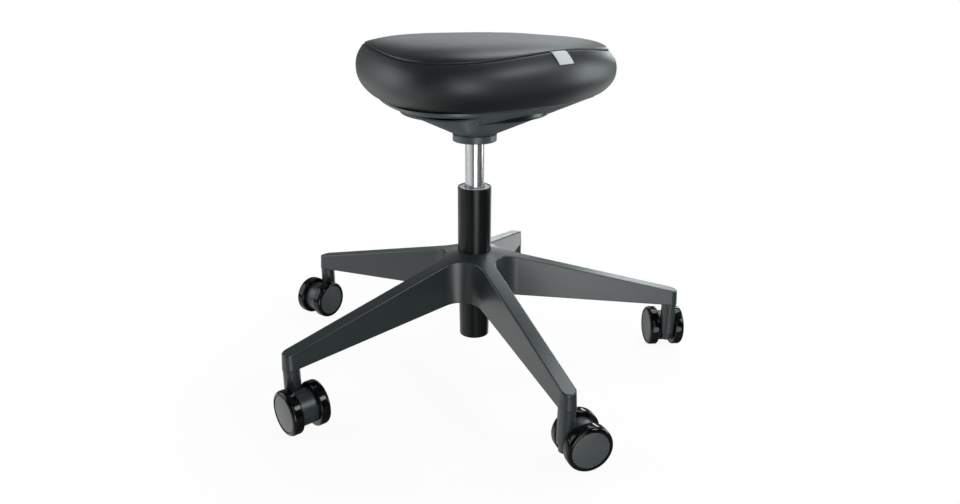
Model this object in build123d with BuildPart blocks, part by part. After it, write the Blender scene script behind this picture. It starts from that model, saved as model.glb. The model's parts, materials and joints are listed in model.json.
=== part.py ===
"""Backless swivel stool: three-cornered seat, gas column, five-star base on twin-wheel castors.

Units are millimetres. The origin is on the floor, on the column's axis, with +Z up.
"""
import os
from math import atan2, cos, degrees, radians, sin, tan

from build123d import *

os.makedirs("parts", exist_ok=True)

# Castors
wheel_radius = 31.0
wheel_width = 15.5
wheel_spacing = 24.0  # between the inner faces of a pair
wheel_edge = 3.5  # rounding of the tread's outer edge
wheel_inner_edge = 2.0
castor_trail = 22.0
trail_angles = [93.0, 158.0, -124.0, -49.5, 17.5]  # degrees, the way each castor points
axle_radius = 4.0
stem_radius = 4.5
stem_edge = 1.0
stem_length = 46.0  # inside the post
stem_hold = 8.0  # inside the housing's shelf
shelf_radius = 8.5
barrel_radius = 24.0
shelf_depth = 11.0  # housing floor under the post
cap_margin = 4.0  # tread ring left round the cap
cap_thickness = 3.0
cap_crown = 0.7

# Base
leg_count = 5
base_turn = 3.14  # degrees, direction of the first leg
leg_reach = 323.0
leg_tip_half = 12.0
leg_root_half = 17.7
leg_draft = 3.5  # degrees, sides lean in towards the top
hub_fillet = 32.0
hub_top = 177.0
hub_bottom = 110.0
tip_top = 102.0
tip_bottom = 80.0
leg_edge = 2.0
leg_wall = 4.0
leg_roof = 6.0
pocket_count = 3
pocket_start = 70.0
pocket_rib = 5.0
post_foot_radius = 11.3  # the posts are straight
post_foot = 30.0  # height of the post's lower end

# Gas column
tube_radius = 25.0
tube_foot_radius = 22.6
tube_top = 276.0
tube_foot = 37.0
tube_wall = 2.0
tube_lip = 1.2
bush_step = 1.0  # shoulder that carries the bush
rod_room = 1.0  # round the rod in the foot plate
groove = 1.0  # depth of the clip's groove
plate_thickness = 3.0
plate_recess = 4.0
bush_length = 80.0
bush_sink = 0.8  # bush's top below the tube's mouth
bush_edge = 0.5
inner_radius = 14.0
inner_wall = 1.5
inner_foot = 122.0
taper_length = 42.0
taper_start = 6.0  # above the socket's foot
taper_drop = 0.8  # loss of radius along the taper
plug_length = 20.0
rod_radius = 5.0
rod_top = 300.0
rod_tail = 12.0  # rod above the piston
piston_height = 12.0
guide_height = 20.0
washer_radius = 15.0
washer_thickness = 2.0
ball_radius = 1.5
ball_count = 10
buffer_height = 14.5
buffer_radius = 12.0
buffer_edge = 2.0
piston_edge = 0.5
clip_radius = 9.0
clip_thickness = 1.3
button_radius = 3.0
button_proud = 4.0
button_edge = 0.7

# Carrier, release ring and lever
socket_foot = 344.0
socket_radius = 32.0
collar_height = 10.0
socket_headroom = 19.0  # from the socket's top to the carrier's
groove_height = 2.0
groove_depth = 3.0
collar_edge = 1.5
boss_radius = 24.0
carrier_foot_radius = 33.0
carrier_foot_side = 0.8  # foot's sides, drawn in from its corners
carrier_foot_round = 2.0  # foot's corner rounding, less than its radius by this
carrier_floor = 4.0
carrier_wall = 3.5
carrier_height = 51.0
rib_thickness = 3.0
rib_reach = 84.0
rib_height = 27.0
seat_turn = 13.9  # degrees, direction of the seat's first corner
ring_radius = 107.0
ring_wall = 9.0
ring_rise = 3.2  # ring's foot above the carrier's corner line
ring_headroom = 3.0  # under the pan when the ring is pulled up
ring_edge = 2.5
ring_lift = 4.0
tab_width = 14.0
tab_reach = 13.0
tab_thickness = 4.0
guide_inset = 8.0  # from the ring's inside to the guide bolts
guide_turn = 15.0  # degrees from each corner
guide_shank = 2.4
guide_head = 4.5
guide_head_height = 3.0
lever_width = 12.0
lever_thickness = 4.0
lever_pivot = 40.0
lever_gap = 4.0  # between the lever's end and the ring
lever_nose = 6.0
lever_eye = 4.5
lever_round = 3.0
bracket_length = 18.0
pin_radius = 2.0
ear_thickness = 3.0
bracket_plate = 2.0
screw_radius = 2.9
screw_head_radius = 5.2
screw_head_height = 3.4
screw_socket = 2.2
screw_gap = 11.5  # from the ring's outside to the screws' circle
screw_spread = 18.0  # degrees each side of a corner
screw_boss = 7.2
screw_length = 17.0
clamp_thickness = 5.0  # carrier wall under each screw head's seat
insert_radius = 4.5
slot_start = 140.0
slot_half_width = 48.0
slot_rim = 8.0

# Seat
pan_corner = 177.0
pan_side = 136.0
pan_round = 72.0
pan_thickness = 4.0
pan_edge = 1.2
pan_overhang = 2.0
board_inset = 19.0
board_thickness = 10.0
seat_shift = 5.5  # the cushion's centre lies a little towards +X
seat_corner = 198.7
seat_side = 170.3
seat_round = 92.8
seat_height = 76.5
label_width = 24.0
label_drop = 17.0
label_thickness = 1.0
label_gap = 1.92  # from the line between the cushion's sections to the label's middle
label_share = 0.79  # of the seat's height, at the label's middle
label_turn = -4.2  # degrees from the middle of the seat's side
cushion_sections = [  # share of the seat's height, inset from its widest outline
    (0, 26), (0.03, 20), (0.08, 14), (0.15, 8.5), (0.25, 3.8), (0.36, 1), (0.47, 0), (0.58, 1), (0.69, 3.6),
    (0.79, 7.5), (0.86, 11.5), (0.91, 17), (0.95, 26), (0.98, 42), (1, 72),
]

# Clearances
running = 0.05
seat_fit = 0.02
free = 0.3
side_room = 0.4  # between barrel and wheel
post_room = 1.0  # between post and barrel
ring_room = 1.0  # between ring and carrier
cap_room = 0.15


def polar(radius, angle):
    return (radius * cos(radians(angle)), radius * sin(radians(angle)))


# Values that follow from the driving sizes
standing = (Align.CENTER, Align.CENTER, Align.MIN)
hanging = (Align.CENTER, Align.CENTER, Align.MAX)
carrier_foot = socket_foot + collar_height + groove_height
carrier_top = carrier_foot + carrier_height
seat_bottom = carrier_top + pan_thickness
post_radius = leg_reach - leg_tip_half
post_top = tip_bottom + leg_roof
socket_top = carrier_top - socket_headroom
inner_top = socket_foot + taper_start + taper_length
groove_radius = socket_radius - groove_depth
corner_angles = [seat_turn + 120 * corner for corner in range(3)]
leg_angles = [base_turn + 360 / leg_count * leg for leg in range(leg_count)]
side_angles = [seat_turn + 60 + 120 * side for side in range(3)]
lever_angle = corner_angles[1]
guide_angles = [angle + guide_turn for angle in corner_angles]
screw_circle = ring_radius + screw_gap
screw_places = [
    polar(screw_circle, angle + turn) for angle in corner_angles for turn in (-screw_spread, screw_spread)
]
carrier_corner = pan_corner - pan_overhang
carrier_side = pan_side - pan_overhang
carrier_round = pan_round - pan_overhang
ring_path = ring_radius + 2 * ring_room
ring_slope = carrier_height / (carrier_corner - carrier_foot_radius)
ring_foot = carrier_foot + ring_slope * (ring_path - carrier_foot_radius) + ring_rise
ring_height = carrier_top - ring_headroom - ring_lift - ring_foot
button_top = inner_top + button_proud
lever_foot = button_top + free
pivot_height = lever_foot + lever_thickness / 2
tab_foot = lever_foot - free - tab_thickness
guide_radius = ring_radius - ring_wall - guide_inset
lever_end = ring_radius - ring_wall - lever_gap


def leg_top(radius):
    return hub_top + (tip_top - hub_top) * (radius - tube_radius) / (leg_reach - tube_radius)


def leg_bottom(radius):
    return hub_bottom + (tip_bottom - hub_bottom) * (radius - tube_radius) / (leg_reach - tube_radius)


def tube_outer(height):
    share = (hub_top - height) / (hub_top - tube_foot)
    return tube_radius + (tube_foot_radius - tube_radius) * max(share, 0)


def three_corner(height, corner, side, round_radius, centre_x=0.0):
    """Face with three corner arcs joined by three wide side arcs, tangent throughout."""
    reach = corner - round_radius
    spare = side - round_radius
    flatness = 2 * spare - reach
    lean = spare**2 - reach**2
    spread = degrees(atan2(-sin(radians(60)) * lean, reach * flatness - cos(radians(60)) * lean))
    with BuildSketch(Plane((centre_x, 0, height))) as outline:
        with BuildLine():
            for angle in corner_angles:
                middle = Vector(*polar(reach, angle))
                start = middle + Vector(*polar(round_radius, angle - spread))
                end = middle + Vector(*polar(round_radius, angle + spread))
                ThreePointArc(start, polar(corner, angle), end)
                ThreePointArc(end, polar(side, angle + 60), start.rotate(Axis.Z, 120))
        make_face()
    return outline.sketch


def revolved(points):
    """Solid of revolution about the column's axis from (radius, height) points."""
    with BuildPart() as turned:
        with BuildSketch(Plane.XZ):
            with BuildLine():
                Polyline(*points, close=True)
            make_face()
        revolve(axis=Axis.Z)
    return turned.part


# Five-star base: legs that taper outwards, lean in by their draft and meet in hollow corners
def star_plan(height, draw_in):
    """Face with the outline of all legs, drawn in all round."""
    tip = leg_tip_half - draw_in
    root = leg_root_half - draw_in
    with BuildSketch() as leg_plan:
        with BuildLine():
            Polyline((post_radius, tip), (0, root), (0, -root), (post_radius, -tip))
            ThreePointArc((post_radius, -tip), (leg_reach - draw_in, 0), (post_radius, tip))
        make_face()
    with BuildSketch(Plane.XY.offset(height)) as plan:
        with PolarLocations(0, leg_count, start_angle=base_turn):
            add(leg_plan.sketch)
        fillet(plan.vertices().sort_by_distance((0, 0, height))[:leg_count], hub_fillet + draw_in)
    return plan.sketch


with BuildPart() as drafted_legs:
    past_tip = leg_reach + leg_wall
    plan_foot = leg_bottom(past_tip)
    plan_top = hub_top + leg_edge
    add(star_plan(plan_foot, 0))
    add(star_plan(plan_top, (plan_top - plan_foot) * tan(radians(leg_draft))))
    loft(ruled=True)

with BuildPart() as leg_pockets:
    pocket_end = post_radius - leg_tip_half - leg_wall
    pocket_length = (pocket_end - pocket_start - pocket_rib * (pocket_count - 1)) / pocket_count
    add(revolved([
        (pocket_start, 0), (pocket_end, 0), (pocket_end, leg_top(pocket_end) - leg_roof),
        (pocket_start, leg_top(pocket_start) - leg_roof),
    ]))
    with BuildSketch():
        for angle in leg_angles:
            for pocket in range(pocket_count):
                middle = pocket_start + pocket_length / 2 + pocket * (pocket_length + pocket_rib)
                with Locations(Location((*polar(middle, angle), 0), (0, 0, angle))):
                    Rectangle(pocket_length, 2 * (leg_tip_half - leg_wall))
    extrude(amount=hub_top, mode=Mode.INTERSECT)

with BuildPart() as star_base:
    add(revolved([
        (0, hub_bottom), (tube_radius, hub_bottom), (past_tip, leg_bottom(past_tip)),
        (past_tip, leg_top(past_tip)), (tube_radius, hub_top), (0, hub_top),
    ]))
    add(drafted_legs.part, mode=Mode.INTERSECT)
    slope = star_base.faces().filter_by(GeomType.CONE).sort_by(Axis.Z)[-1]
    fillet(slope.outer_wire().edges(), leg_edge)
    add(leg_pockets.part, mode=Mode.SUBTRACT)
    for angle in leg_angles:
        with Locations((*polar(post_radius, angle), post_foot)):
            Cylinder(post_foot_radius, post_top - post_foot, align=standing)
            Cylinder(stem_radius + running, stem_length, align=standing, mode=Mode.SUBTRACT)
    add(revolved([
        (0, tube_foot), (tube_foot_radius + seat_fit, tube_foot), (tube_radius + seat_fit, hub_top),
        (tube_radius + seat_fit, tube_top), (0, tube_top),
    ]), mode=Mode.SUBTRACT)

# Gas column: fixed outer tube with its guide bush
with BuildPart() as column_tube:
    plate_foot = tube_foot + plate_recess
    plate_top = plate_foot + plate_thickness
    bush_foot = tube_top - bush_length
    bush_seat = tube_radius - tube_wall
    add(revolved([
        (tube_foot_radius, tube_foot), (tube_radius, hub_top), (tube_radius, tube_top),
        (bush_seat, tube_top), (bush_seat, bush_foot), (bush_seat - bush_step, bush_foot),
        (tube_outer(plate_top) - tube_wall, plate_top), (rod_radius + rod_room, plate_top),
        (rod_radius + rod_room, plate_foot), (tube_outer(plate_foot) - tube_wall, plate_foot),
        (tube_foot_radius - tube_wall, tube_foot),
    ]))
    mouth = column_tube.edges().filter_by(GeomType.CIRCLE).group_by(Axis.Z)[-1]
    fillet(mouth.sort_by(SortBy.RADIUS)[-1], tube_lip)

with BuildPart() as guide_bush:
    add(revolved([
        (inner_radius + running, bush_foot), (bush_seat - seat_fit, bush_foot),
        (bush_seat - seat_fit, tube_top - bush_sink), (inner_radius + running, tube_top - bush_sink),
    ]))
    mouth = guide_bush.edges().filter_by(GeomType.CIRCLE).group_by(Axis.Z)[-1]
    chamfer(mouth, bush_edge)

# Gas column: parts that turn with the rod
with BuildPart() as ball_cage:
    ball_height = plate_top + running + ball_radius
    ball_circle = (rod_radius + washer_radius) / 2
    with Locations((0, 0, ball_height)):
        Cylinder(ball_circle + ball_radius * 2, ball_radius)
        Cylinder(ball_circle - ball_radius * 2, ball_radius, mode=Mode.SUBTRACT)
        with PolarLocations(ball_circle, ball_count):
            Sphere(ball_radius)

with BuildPart() as bearing_washer:
    washer_foot = ball_height + ball_radius + seat_fit
    with Locations((0, 0, washer_foot)):
        Cylinder(washer_radius, washer_thickness, align=standing)
        Cylinder(rod_radius + seat_fit, washer_thickness, align=standing, mode=Mode.SUBTRACT)

with BuildPart() as buffer:
    buffer_foot = washer_foot + washer_thickness
    with Locations((0, 0, buffer_foot)):
        Cylinder(buffer_radius, buffer_height, align=standing)
    chamfer(buffer.edges().group_by(Axis.Z)[-1], buffer_edge)
    with Locations((0, 0, buffer_foot)):
        Cylinder(rod_radius + seat_fit, buffer_height, align=standing, mode=Mode.SUBTRACT)

with BuildPart() as piston_rod:
    clip_top = plate_foot - free
    clip_foot = clip_top - clip_thickness
    rod_foot = clip_foot - clip_thickness
    add(revolved([
        (0, rod_foot), (rod_radius, rod_foot), (rod_radius, clip_foot), (rod_radius - groove, clip_foot),
        (rod_radius - groove, clip_top), (rod_radius, clip_top), (rod_radius, rod_top), (0, rod_top),
    ]))

with BuildPart() as rod_clip:
    with Locations((0, 0, clip_foot + seat_fit)):
        Cylinder(clip_radius, clip_thickness - 2 * seat_fit, align=standing)
        Cylinder(rod_radius - groove + seat_fit, clip_thickness, align=standing, mode=Mode.SUBTRACT)
        with Locations((clip_radius / 2, 0, 0)):
            Box(clip_radius, rod_radius, clip_thickness, align=standing, mode=Mode.SUBTRACT)

with BuildPart() as piston:
    piston_foot = rod_top - rod_tail - piston_height
    with Locations((0, 0, piston_foot)):
        Cylinder(inner_radius - inner_wall - running * 2, piston_height, align=standing)
    chamfer(piston.edges(), piston_edge)
    with Locations((0, 0, piston_foot)):
        Cylinder(rod_radius + seat_fit, piston_height, align=standing, mode=Mode.SUBTRACT)

# Gas column: inner tube that rises with the seat
with BuildPart() as inner_tube:
    add(revolved([
        (inner_radius - inner_wall, inner_foot), (inner_radius, inner_foot),
        (inner_radius, inner_top - taper_length), (inner_radius - taper_drop, inner_top),
        (button_radius + running, inner_top), (button_radius + running, inner_top - plug_length),
        (inner_radius - inner_wall, inner_top - plug_length),
    ]))

with BuildPart() as rod_guide:
    with Locations((0, 0, inner_foot)):
        Cylinder(inner_radius - inner_wall - seat_fit, guide_height, align=standing)
        Cylinder(rod_radius + running, guide_height, align=standing, mode=Mode.SUBTRACT)

with BuildPart() as valve_button:
    with Locations((0, 0, button_top)):
        Cylinder(button_radius, button_proud + plug_length + ring_lift, align=hanging)
    chamfer(valve_button.edges().group_by(Axis.Z)[-1], button_edge)

# Socket that grips the inner tube's taper, with the collar under the carrier
with BuildPart() as column_socket:
    grip = inner_radius - taper_drop * (socket_top - inner_top + taper_length) / taper_length
    add(revolved([
        (inner_radius + seat_fit, socket_foot), (socket_radius, socket_foot),
        (socket_radius, socket_foot + collar_height), (groove_radius, socket_foot + collar_height),
        (groove_radius, carrier_foot), (boss_radius, carrier_foot), (boss_radius, socket_top),
        (grip + seat_fit, socket_top), (inner_radius + seat_fit, inner_top - taper_length),
    ]))
    collar = column_socket.edges().filter_by(GeomType.CIRCLE).group_by(Axis.Z)[0]
    fillet(collar.sort_by(SortBy.RADIUS)[-1], collar_edge)

# Carrier: three-cornered funnel with ribs, screw bosses, finger slots and a path for the ring
with BuildPart() as carrier_hollow:
    hollow_foot = carrier_foot + carrier_floor
    hollow_radius = carrier_foot_radius - carrier_wall
    add(three_corner(hollow_foot, hollow_radius, hollow_radius - carrier_foot_side,
                     hollow_radius - carrier_foot_round))
    add(three_corner(carrier_top, carrier_corner - carrier_wall, carrier_side - carrier_wall,
                     carrier_round - carrier_wall))
    loft(ruled=True)
    for angle in side_angles:
        with Locations(Location((*polar(rib_reach / 2, angle), carrier_foot), (0, 0, angle))):
            Box(rib_reach, rib_thickness, rib_height, align=standing, mode=Mode.SUBTRACT)
    for place in screw_places:
        with Locations((*place, carrier_foot)):
            Cylinder(screw_boss, carrier_height, align=standing, mode=Mode.SUBTRACT)

with BuildPart() as seat_carrier:
    add(three_corner(carrier_foot, carrier_foot_radius, carrier_foot_radius - carrier_foot_side,
                     carrier_foot_radius - carrier_foot_round))
    add(three_corner(carrier_top, carrier_corner, carrier_side, carrier_round))
    loft(ruled=True)
    add(carrier_hollow.part, mode=Mode.SUBTRACT)
    with Locations((0, 0, carrier_foot)):
        Cylinder(boss_radius + seat_fit, carrier_height, align=standing, mode=Mode.SUBTRACT)
    with BuildSketch(Plane.XY.offset(ring_foot - ring_room)):
        Circle(ring_path)
        Circle(ring_radius - ring_wall - 2 * ring_room, mode=Mode.SUBTRACT)
    extrude(amount=carrier_top, mode=Mode.SUBTRACT)
    for place in screw_places:
        with Locations((*place, carrier_top - clamp_thickness)):
            Cylinder(screw_radius + free, carrier_top, mode=Mode.SUBTRACT)
            Cylinder(screw_head_radius + free, carrier_top, align=hanging, mode=Mode.SUBTRACT)
    for angle in corner_angles:
        with BuildSketch(Plane((0, 0, carrier_foot), x_dir=(*polar(1, angle), 0))):
            with Locations((carrier_corner - carrier_round, 0)):
                Circle(carrier_round - slot_rim)
            with Locations((slot_start, 0)):
                Rectangle(carrier_corner, 2 * slot_half_width, align=(Align.MIN, Align.CENTER),
                          mode=Mode.INTERSECT)
        extrude(amount=carrier_top, mode=Mode.SUBTRACT)

# Release ring, its guide bolts and the lever that presses the valve button
with BuildPart() as release_ring:
    with BuildSketch(Plane.XY.offset(ring_foot)):
        Circle(ring_radius)
        Circle(ring_radius - ring_wall, mode=Mode.SUBTRACT)
    extrude(amount=ring_height)
    rims = release_ring.edges().filter_by(GeomType.CIRCLE).group_by(SortBy.RADIUS)[-1]
    fillet(rims, ring_edge)
    tab_middle = ring_radius - ring_wall - tab_reach / 2
    with BuildSketch(Plane.XY.offset(tab_foot)):
        for angle in guide_angles + [lever_angle]:
            with Locations(Location((*polar(tab_middle, angle), 0), (0, 0, angle))):
                Rectangle(tab_reach + ring_wall / 2, tab_width)
    extrude(amount=tab_thickness)
    for angle in guide_angles:
        with Locations((*polar(guide_radius, angle), tab_foot)):
            Cylinder(guide_shank + 2 * running, tab_thickness, align=standing, mode=Mode.SUBTRACT)

with BuildPart() as guide_bolts:
    for angle in guide_angles:
        with Locations((*polar(guide_radius, angle), tab_foot - free)):
            Cylinder(guide_head, guide_head_height, align=hanging)
            Cylinder(guide_shank, carrier_top - tab_foot + free, align=standing)

lever_plane = Plane((0, 0, 0), x_dir=(*polar(1, lever_angle), 0))
with BuildPart(lever_plane) as release_lever:
    with Locations(((lever_end - lever_nose) / 2, 0, pivot_height)):
        Box(lever_end + lever_nose, lever_width, lever_thickness)
    fillet(release_lever.edges().filter_by(Axis.Z), lever_round)
    with Locations((lever_pivot, 0, pivot_height)):
        Cylinder(lever_eye, lever_width, rotation=(90, 0, 0))
        Cylinder(pin_radius + running, lever_width, rotation=(90, 0, 0), mode=Mode.SUBTRACT)

with BuildPart(lever_plane) as lever_bracket:
    ear_place = lever_width / 2 + free + ear_thickness / 2
    with Locations((lever_pivot, 0, carrier_top)):
        Box(bracket_length, 2 * ear_place + ear_thickness, bracket_plate, align=hanging)
    with Locations((lever_pivot, ear_place, pivot_height), (lever_pivot, -ear_place, pivot_height)):
        Cylinder(lever_eye, ear_thickness, rotation=(90, 0, 0))
        Box(2 * lever_eye, ear_thickness, carrier_top - pivot_height, align=standing)
    with Locations((lever_pivot, 0, pivot_height)):
        Cylinder(pin_radius + seat_fit, 2 * ear_place + ear_thickness, rotation=(90, 0, 0),
                 mode=Mode.SUBTRACT)

with BuildPart(lever_plane) as lever_pin:
    with Locations((lever_pivot, 0, pivot_height)):
        Cylinder(pin_radius, 2 * ear_place + ear_thickness, rotation=(90, 0, 0))

# Pan, board, inserts and screws under the cushion
with BuildPart() as seat_pan:
    add(three_corner(carrier_top, pan_corner, pan_side, pan_round))
    extrude(amount=pan_thickness)
    fillet(seat_pan.edges().group_by(Axis.Z)[0], pan_edge)
    for place in screw_places:
        with Locations((*place, carrier_top)):
            Cylinder(screw_radius + free, pan_thickness, align=standing, mode=Mode.SUBTRACT)

with BuildPart() as seat_board:
    add(three_corner(seat_bottom, pan_corner - board_inset, pan_side - board_inset, pan_round - board_inset))
    extrude(amount=board_thickness)
    for place in screw_places:
        with Locations((*place, seat_bottom)):
            Cylinder(insert_radius, board_thickness, align=standing, mode=Mode.SUBTRACT)

with BuildPart() as threaded_inserts:
    for place in screw_places:
        with Locations((*place, seat_bottom)):
            Cylinder(insert_radius - seat_fit, board_thickness, align=standing)
            Cylinder(screw_radius + seat_fit, board_thickness, align=standing, mode=Mode.SUBTRACT)

with BuildPart() as carrier_screws:
    for place in screw_places:
        with Locations((*place, carrier_top - clamp_thickness)):
            Cylinder(screw_head_radius, screw_head_height, align=hanging)
            Cylinder(screw_radius, screw_length, align=standing)
        with Locations((*place, carrier_top - clamp_thickness - screw_head_height)):
            Cylinder(screw_socket, screw_head_height / 2, align=standing, mode=Mode.SUBTRACT)

# Cushion: crowned, with sides that swell and draw in again to the pan
with BuildPart() as seat_cushion:
    for share, inset in cushion_sections:
        add(three_corner(seat_bottom + share * seat_height, seat_corner - inset, seat_side - inset,
                         seat_round - inset, seat_shift))
    loft(ruled=True)
    add(three_corner(seat_bottom, pan_corner - board_inset + free, pan_side - board_inset + free,
                     pan_round - board_inset + free))
    extrude(amount=board_thickness + free, mode=Mode.SUBTRACT)

label_plane = Plane((seat_shift, 0, 0), x_dir=(*polar(1, side_angles[2] + label_turn), 0))
with BuildPart(label_plane) as seam_label:
    low_share, low_inset = [section for section in cushion_sections if section[0] < label_share][-1]
    high_share, high_inset = [section for section in cushion_sections if section[0] > label_share][0]
    draw_in = (high_inset - low_inset) / (high_share - low_share)
    lean = degrees(atan2(draw_in, seat_height))
    label_reach = seat_side - low_inset - draw_in * (label_share - low_share) + label_gap
    label_spot = (label_reach, 0, seat_bottom + label_share * seat_height)
    with Locations(Location(label_spot, (0, -lean, 0))):
        Box(label_thickness, label_width, label_drop)

# Castor forms, with the stem on the axis and the axle trailing along +X
with BuildPart() as housing:
    barrel_length = wheel_spacing - 2 * side_room
    shelf_top = post_foot - free
    with Locations((castor_trail, 0, wheel_radius)):
        Cylinder(barrel_radius, barrel_length, rotation=(90, 0, 0))
    with Locations((castor_trail / 2, 0, shelf_top)):
        Box(castor_trail, 2 * shelf_radius, shelf_depth, align=hanging)
    with Locations((0, 0, shelf_top)):
        Cylinder(shelf_radius, shelf_depth, align=hanging)
        Cylinder(post_foot_radius + post_room, post_top - post_foot, align=standing, mode=Mode.SUBTRACT)
        Cylinder(stem_radius + seat_fit, 2 * stem_hold, mode=Mode.SUBTRACT)
    with Locations((castor_trail, 0, wheel_radius)):
        Cylinder(axle_radius + seat_fit, barrel_length, rotation=(90, 0, 0), mode=Mode.SUBTRACT)

with BuildPart() as stem:
    with Locations((0, 0, shelf_top - stem_hold)):
        Cylinder(stem_radius, stem_length + stem_hold - free, align=standing)
    chamfer(stem.edges().group_by(Axis.Z)[-1], stem_edge)

with BuildPart() as axle:
    with Locations((castor_trail, 0, wheel_radius)):
        Cylinder(axle_radius, wheel_spacing + 2 * (wheel_width - cap_thickness - free), rotation=(90, 0, 0))

with BuildPart() as wheel:
    cap_seat = wheel_radius - cap_margin
    cap_floor = wheel_width - cap_thickness
    with BuildSketch(Plane.XZ) as wheel_section:
        with BuildLine():
            Polyline(
                (axle_radius + running, 0), (wheel_radius, 0), (wheel_radius, wheel_width),
                (cap_seat, wheel_width), (cap_seat, cap_floor), (axle_radius + running, cap_floor),
                close=True,
            )
        make_face()
        tread = wheel_section.vertices().group_by(Axis.X)[-1].sort_by(Axis.Y)
        fillet(tread[-1], wheel_edge)
        fillet(tread[0], wheel_inner_edge)
    revolve(axis=Axis.Z)

with BuildPart() as cap:
    cap_rim = cap_seat - cap_room
    with BuildSketch(Plane.XZ):
        with BuildLine():
            Polyline((0, wheel_width + cap_crown), (0, cap_floor), (cap_rim, cap_floor),
                     (cap_rim, wheel_width - cap_crown))
            TangentArc((0, wheel_width + cap_crown), (cap_rim, wheel_width - cap_crown), tangent=(1, 0))
        make_face()
    revolve(axis=Axis.Z)

castor_pieces = {"housing": (housing, Location()), "stem": (stem, Location()), "axle": (axle, Location())}
for side, turn in (("left", 90), ("right", -90)):
    spot = (castor_trail, -wheel_spacing / 2 * turn / 90, wheel_radius)
    castor_pieces[f"wheel_{side}"] = (wheel, Location(spot, (turn, 0, 0)))
    castor_pieces[f"cap_{side}"] = (cap, Location(spot, (turn, 0, 0)))

for number, (leg_angle, trail_angle) in enumerate(zip(leg_angles, trail_angles), 1):
    castor_place = Location((*polar(post_radius, leg_angle), 0), (0, 0, trail_angle))
    for name, (form, spot) in castor_pieces.items():
        with BuildPart() as piece:
            with Locations(castor_place * spot):
                add(form.part)
        piece.part.label = f"castor_{number}_{name}"
        export_step(piece.part, f"parts/castor_{number}_{name}.step")

stool_pieces = {
    "star_base": star_base,
    "column_tube": column_tube,
    "guide_bush": guide_bush,
    "ball_cage": ball_cage,
    "bearing_washer": bearing_washer,
    "buffer": buffer,
    "piston_rod": piston_rod,
    "rod_clip": rod_clip,
    "piston": piston,
    "inner_tube": inner_tube,
    "rod_guide": rod_guide,
    "valve_button": valve_button,
    "column_socket": column_socket,
    "seat_carrier": seat_carrier,
    "release_ring": release_ring,
    "guide_bolts": guide_bolts,
    "release_lever": release_lever,
    "lever_bracket": lever_bracket,
    "lever_pin": lever_pin,
    "seat_pan": seat_pan,
    "seat_board": seat_board,
    "threaded_inserts": threaded_inserts,
    "carrier_screws": carrier_screws,
    "seat_cushion": seat_cushion,
    "seam_label": seam_label,
}
for name, piece in stool_pieces.items():
    piece.part.label = name
    export_step(piece.part, f"parts/{name}.step")
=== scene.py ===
import json
import math
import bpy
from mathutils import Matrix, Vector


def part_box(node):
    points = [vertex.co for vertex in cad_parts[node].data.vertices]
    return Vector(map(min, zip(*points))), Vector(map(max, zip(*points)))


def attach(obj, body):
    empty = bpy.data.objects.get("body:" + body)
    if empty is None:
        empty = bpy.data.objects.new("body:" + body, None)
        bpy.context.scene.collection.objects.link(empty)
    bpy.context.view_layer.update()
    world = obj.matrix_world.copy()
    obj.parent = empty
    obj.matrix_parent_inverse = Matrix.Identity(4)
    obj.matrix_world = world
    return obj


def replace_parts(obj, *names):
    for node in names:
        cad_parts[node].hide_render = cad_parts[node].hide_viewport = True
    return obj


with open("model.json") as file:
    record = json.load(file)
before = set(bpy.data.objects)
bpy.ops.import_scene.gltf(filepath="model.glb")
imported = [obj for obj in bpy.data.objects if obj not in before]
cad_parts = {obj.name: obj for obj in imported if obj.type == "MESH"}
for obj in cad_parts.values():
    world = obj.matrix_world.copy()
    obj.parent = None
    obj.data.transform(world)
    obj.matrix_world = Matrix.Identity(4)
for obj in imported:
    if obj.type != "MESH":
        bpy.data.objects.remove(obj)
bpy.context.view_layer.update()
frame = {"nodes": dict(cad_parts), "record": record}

from types import SimpleNamespace

import bmesh
import bpy
from mathutils import Matrix, Vector, noise
from mathutils.bvhtree import BVHTree

print("frame loaded:", len(frame["nodes"]), "nodes")


def mm(value):
    return value / 1000


def linear(hexColour):
    channels = [int(hexColour[place:place + 2], 16) / 255 for place in (1, 3, 5)]
    return tuple(c / 12.92 if c <= 0.04045 else ((c + 0.055) / 1.055) ** 2.4 for c in channels) + (1.0,)


def addNode(tree, kind, inputs=None, **settings):
    node = tree.nodes.new(kind)
    for name, value in settings.items():
        setattr(node, name, value)
    for name, value in (inputs or {}).items():
        if isinstance(value, bpy.types.NodeSocket):
            tree.links.new(value, node.inputs[name])
        else:
            node.inputs[name].default_value = value
    return node


def startMaterial(name, **sockets):
    material = bpy.data.materials.new(name)
    material.use_nodes = True
    tree = material.node_tree
    shader = tree.nodes["Principled BSDF"]
    for socket, value in sockets.items():
        shader.inputs[socket.replace("_", " ")].default_value = value
    return material, tree, shader


def tint(tree, shader, factor, dark, light):
    ramp = addNode(tree, "ShaderNodeValToRGB", {"Fac": factor})
    ramp.color_ramp.elements[0].color = linear(dark)
    ramp.color_ramp.elements[1].color = linear(light)
    tree.links.new(ramp.outputs["Color"], shader.inputs["Base Color"])


def roughen(tree, shader, factor, low, high):
    spread = addNode(tree, "ShaderNodeMapRange", {"Value": factor, "To Min": low, "To Max": high})
    tree.links.new(spread.outputs["Result"], shader.inputs["Roughness"])


# Easing rounds an edge to the eye by so many mm, as paint and a worn mould do
def emboss(tree, shader, height, depth, strength, easing=0):
    bump = addNode(tree, "ShaderNodeBump", {"Height": height, "Distance": mm(depth), "Strength": strength})
    if easing:
        eased = addNode(tree, "ShaderNodeBevel", {"Radius": mm(easing)}, samples=8)
        tree.links.new(eased.outputs["Normal"], bump.inputs["Normal"])
    tree.links.new(bump.outputs["Normal"], shader.inputs["Normal"])


# PU-coated leatherette, embossed: soft satin sheen broken by a fine pebble grain, with painted shade near
# black and a dull sheen in the seam's groove
leatherGrain = {"pebble": 1.5, "cloud": 70.0, "dark": "#131819", "light": "#1b2123", "paintedSeamShade": "#030404",
                "gloss": (0.42, 0.5), "depth": 0.12, "strength": 0.35}


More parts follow.
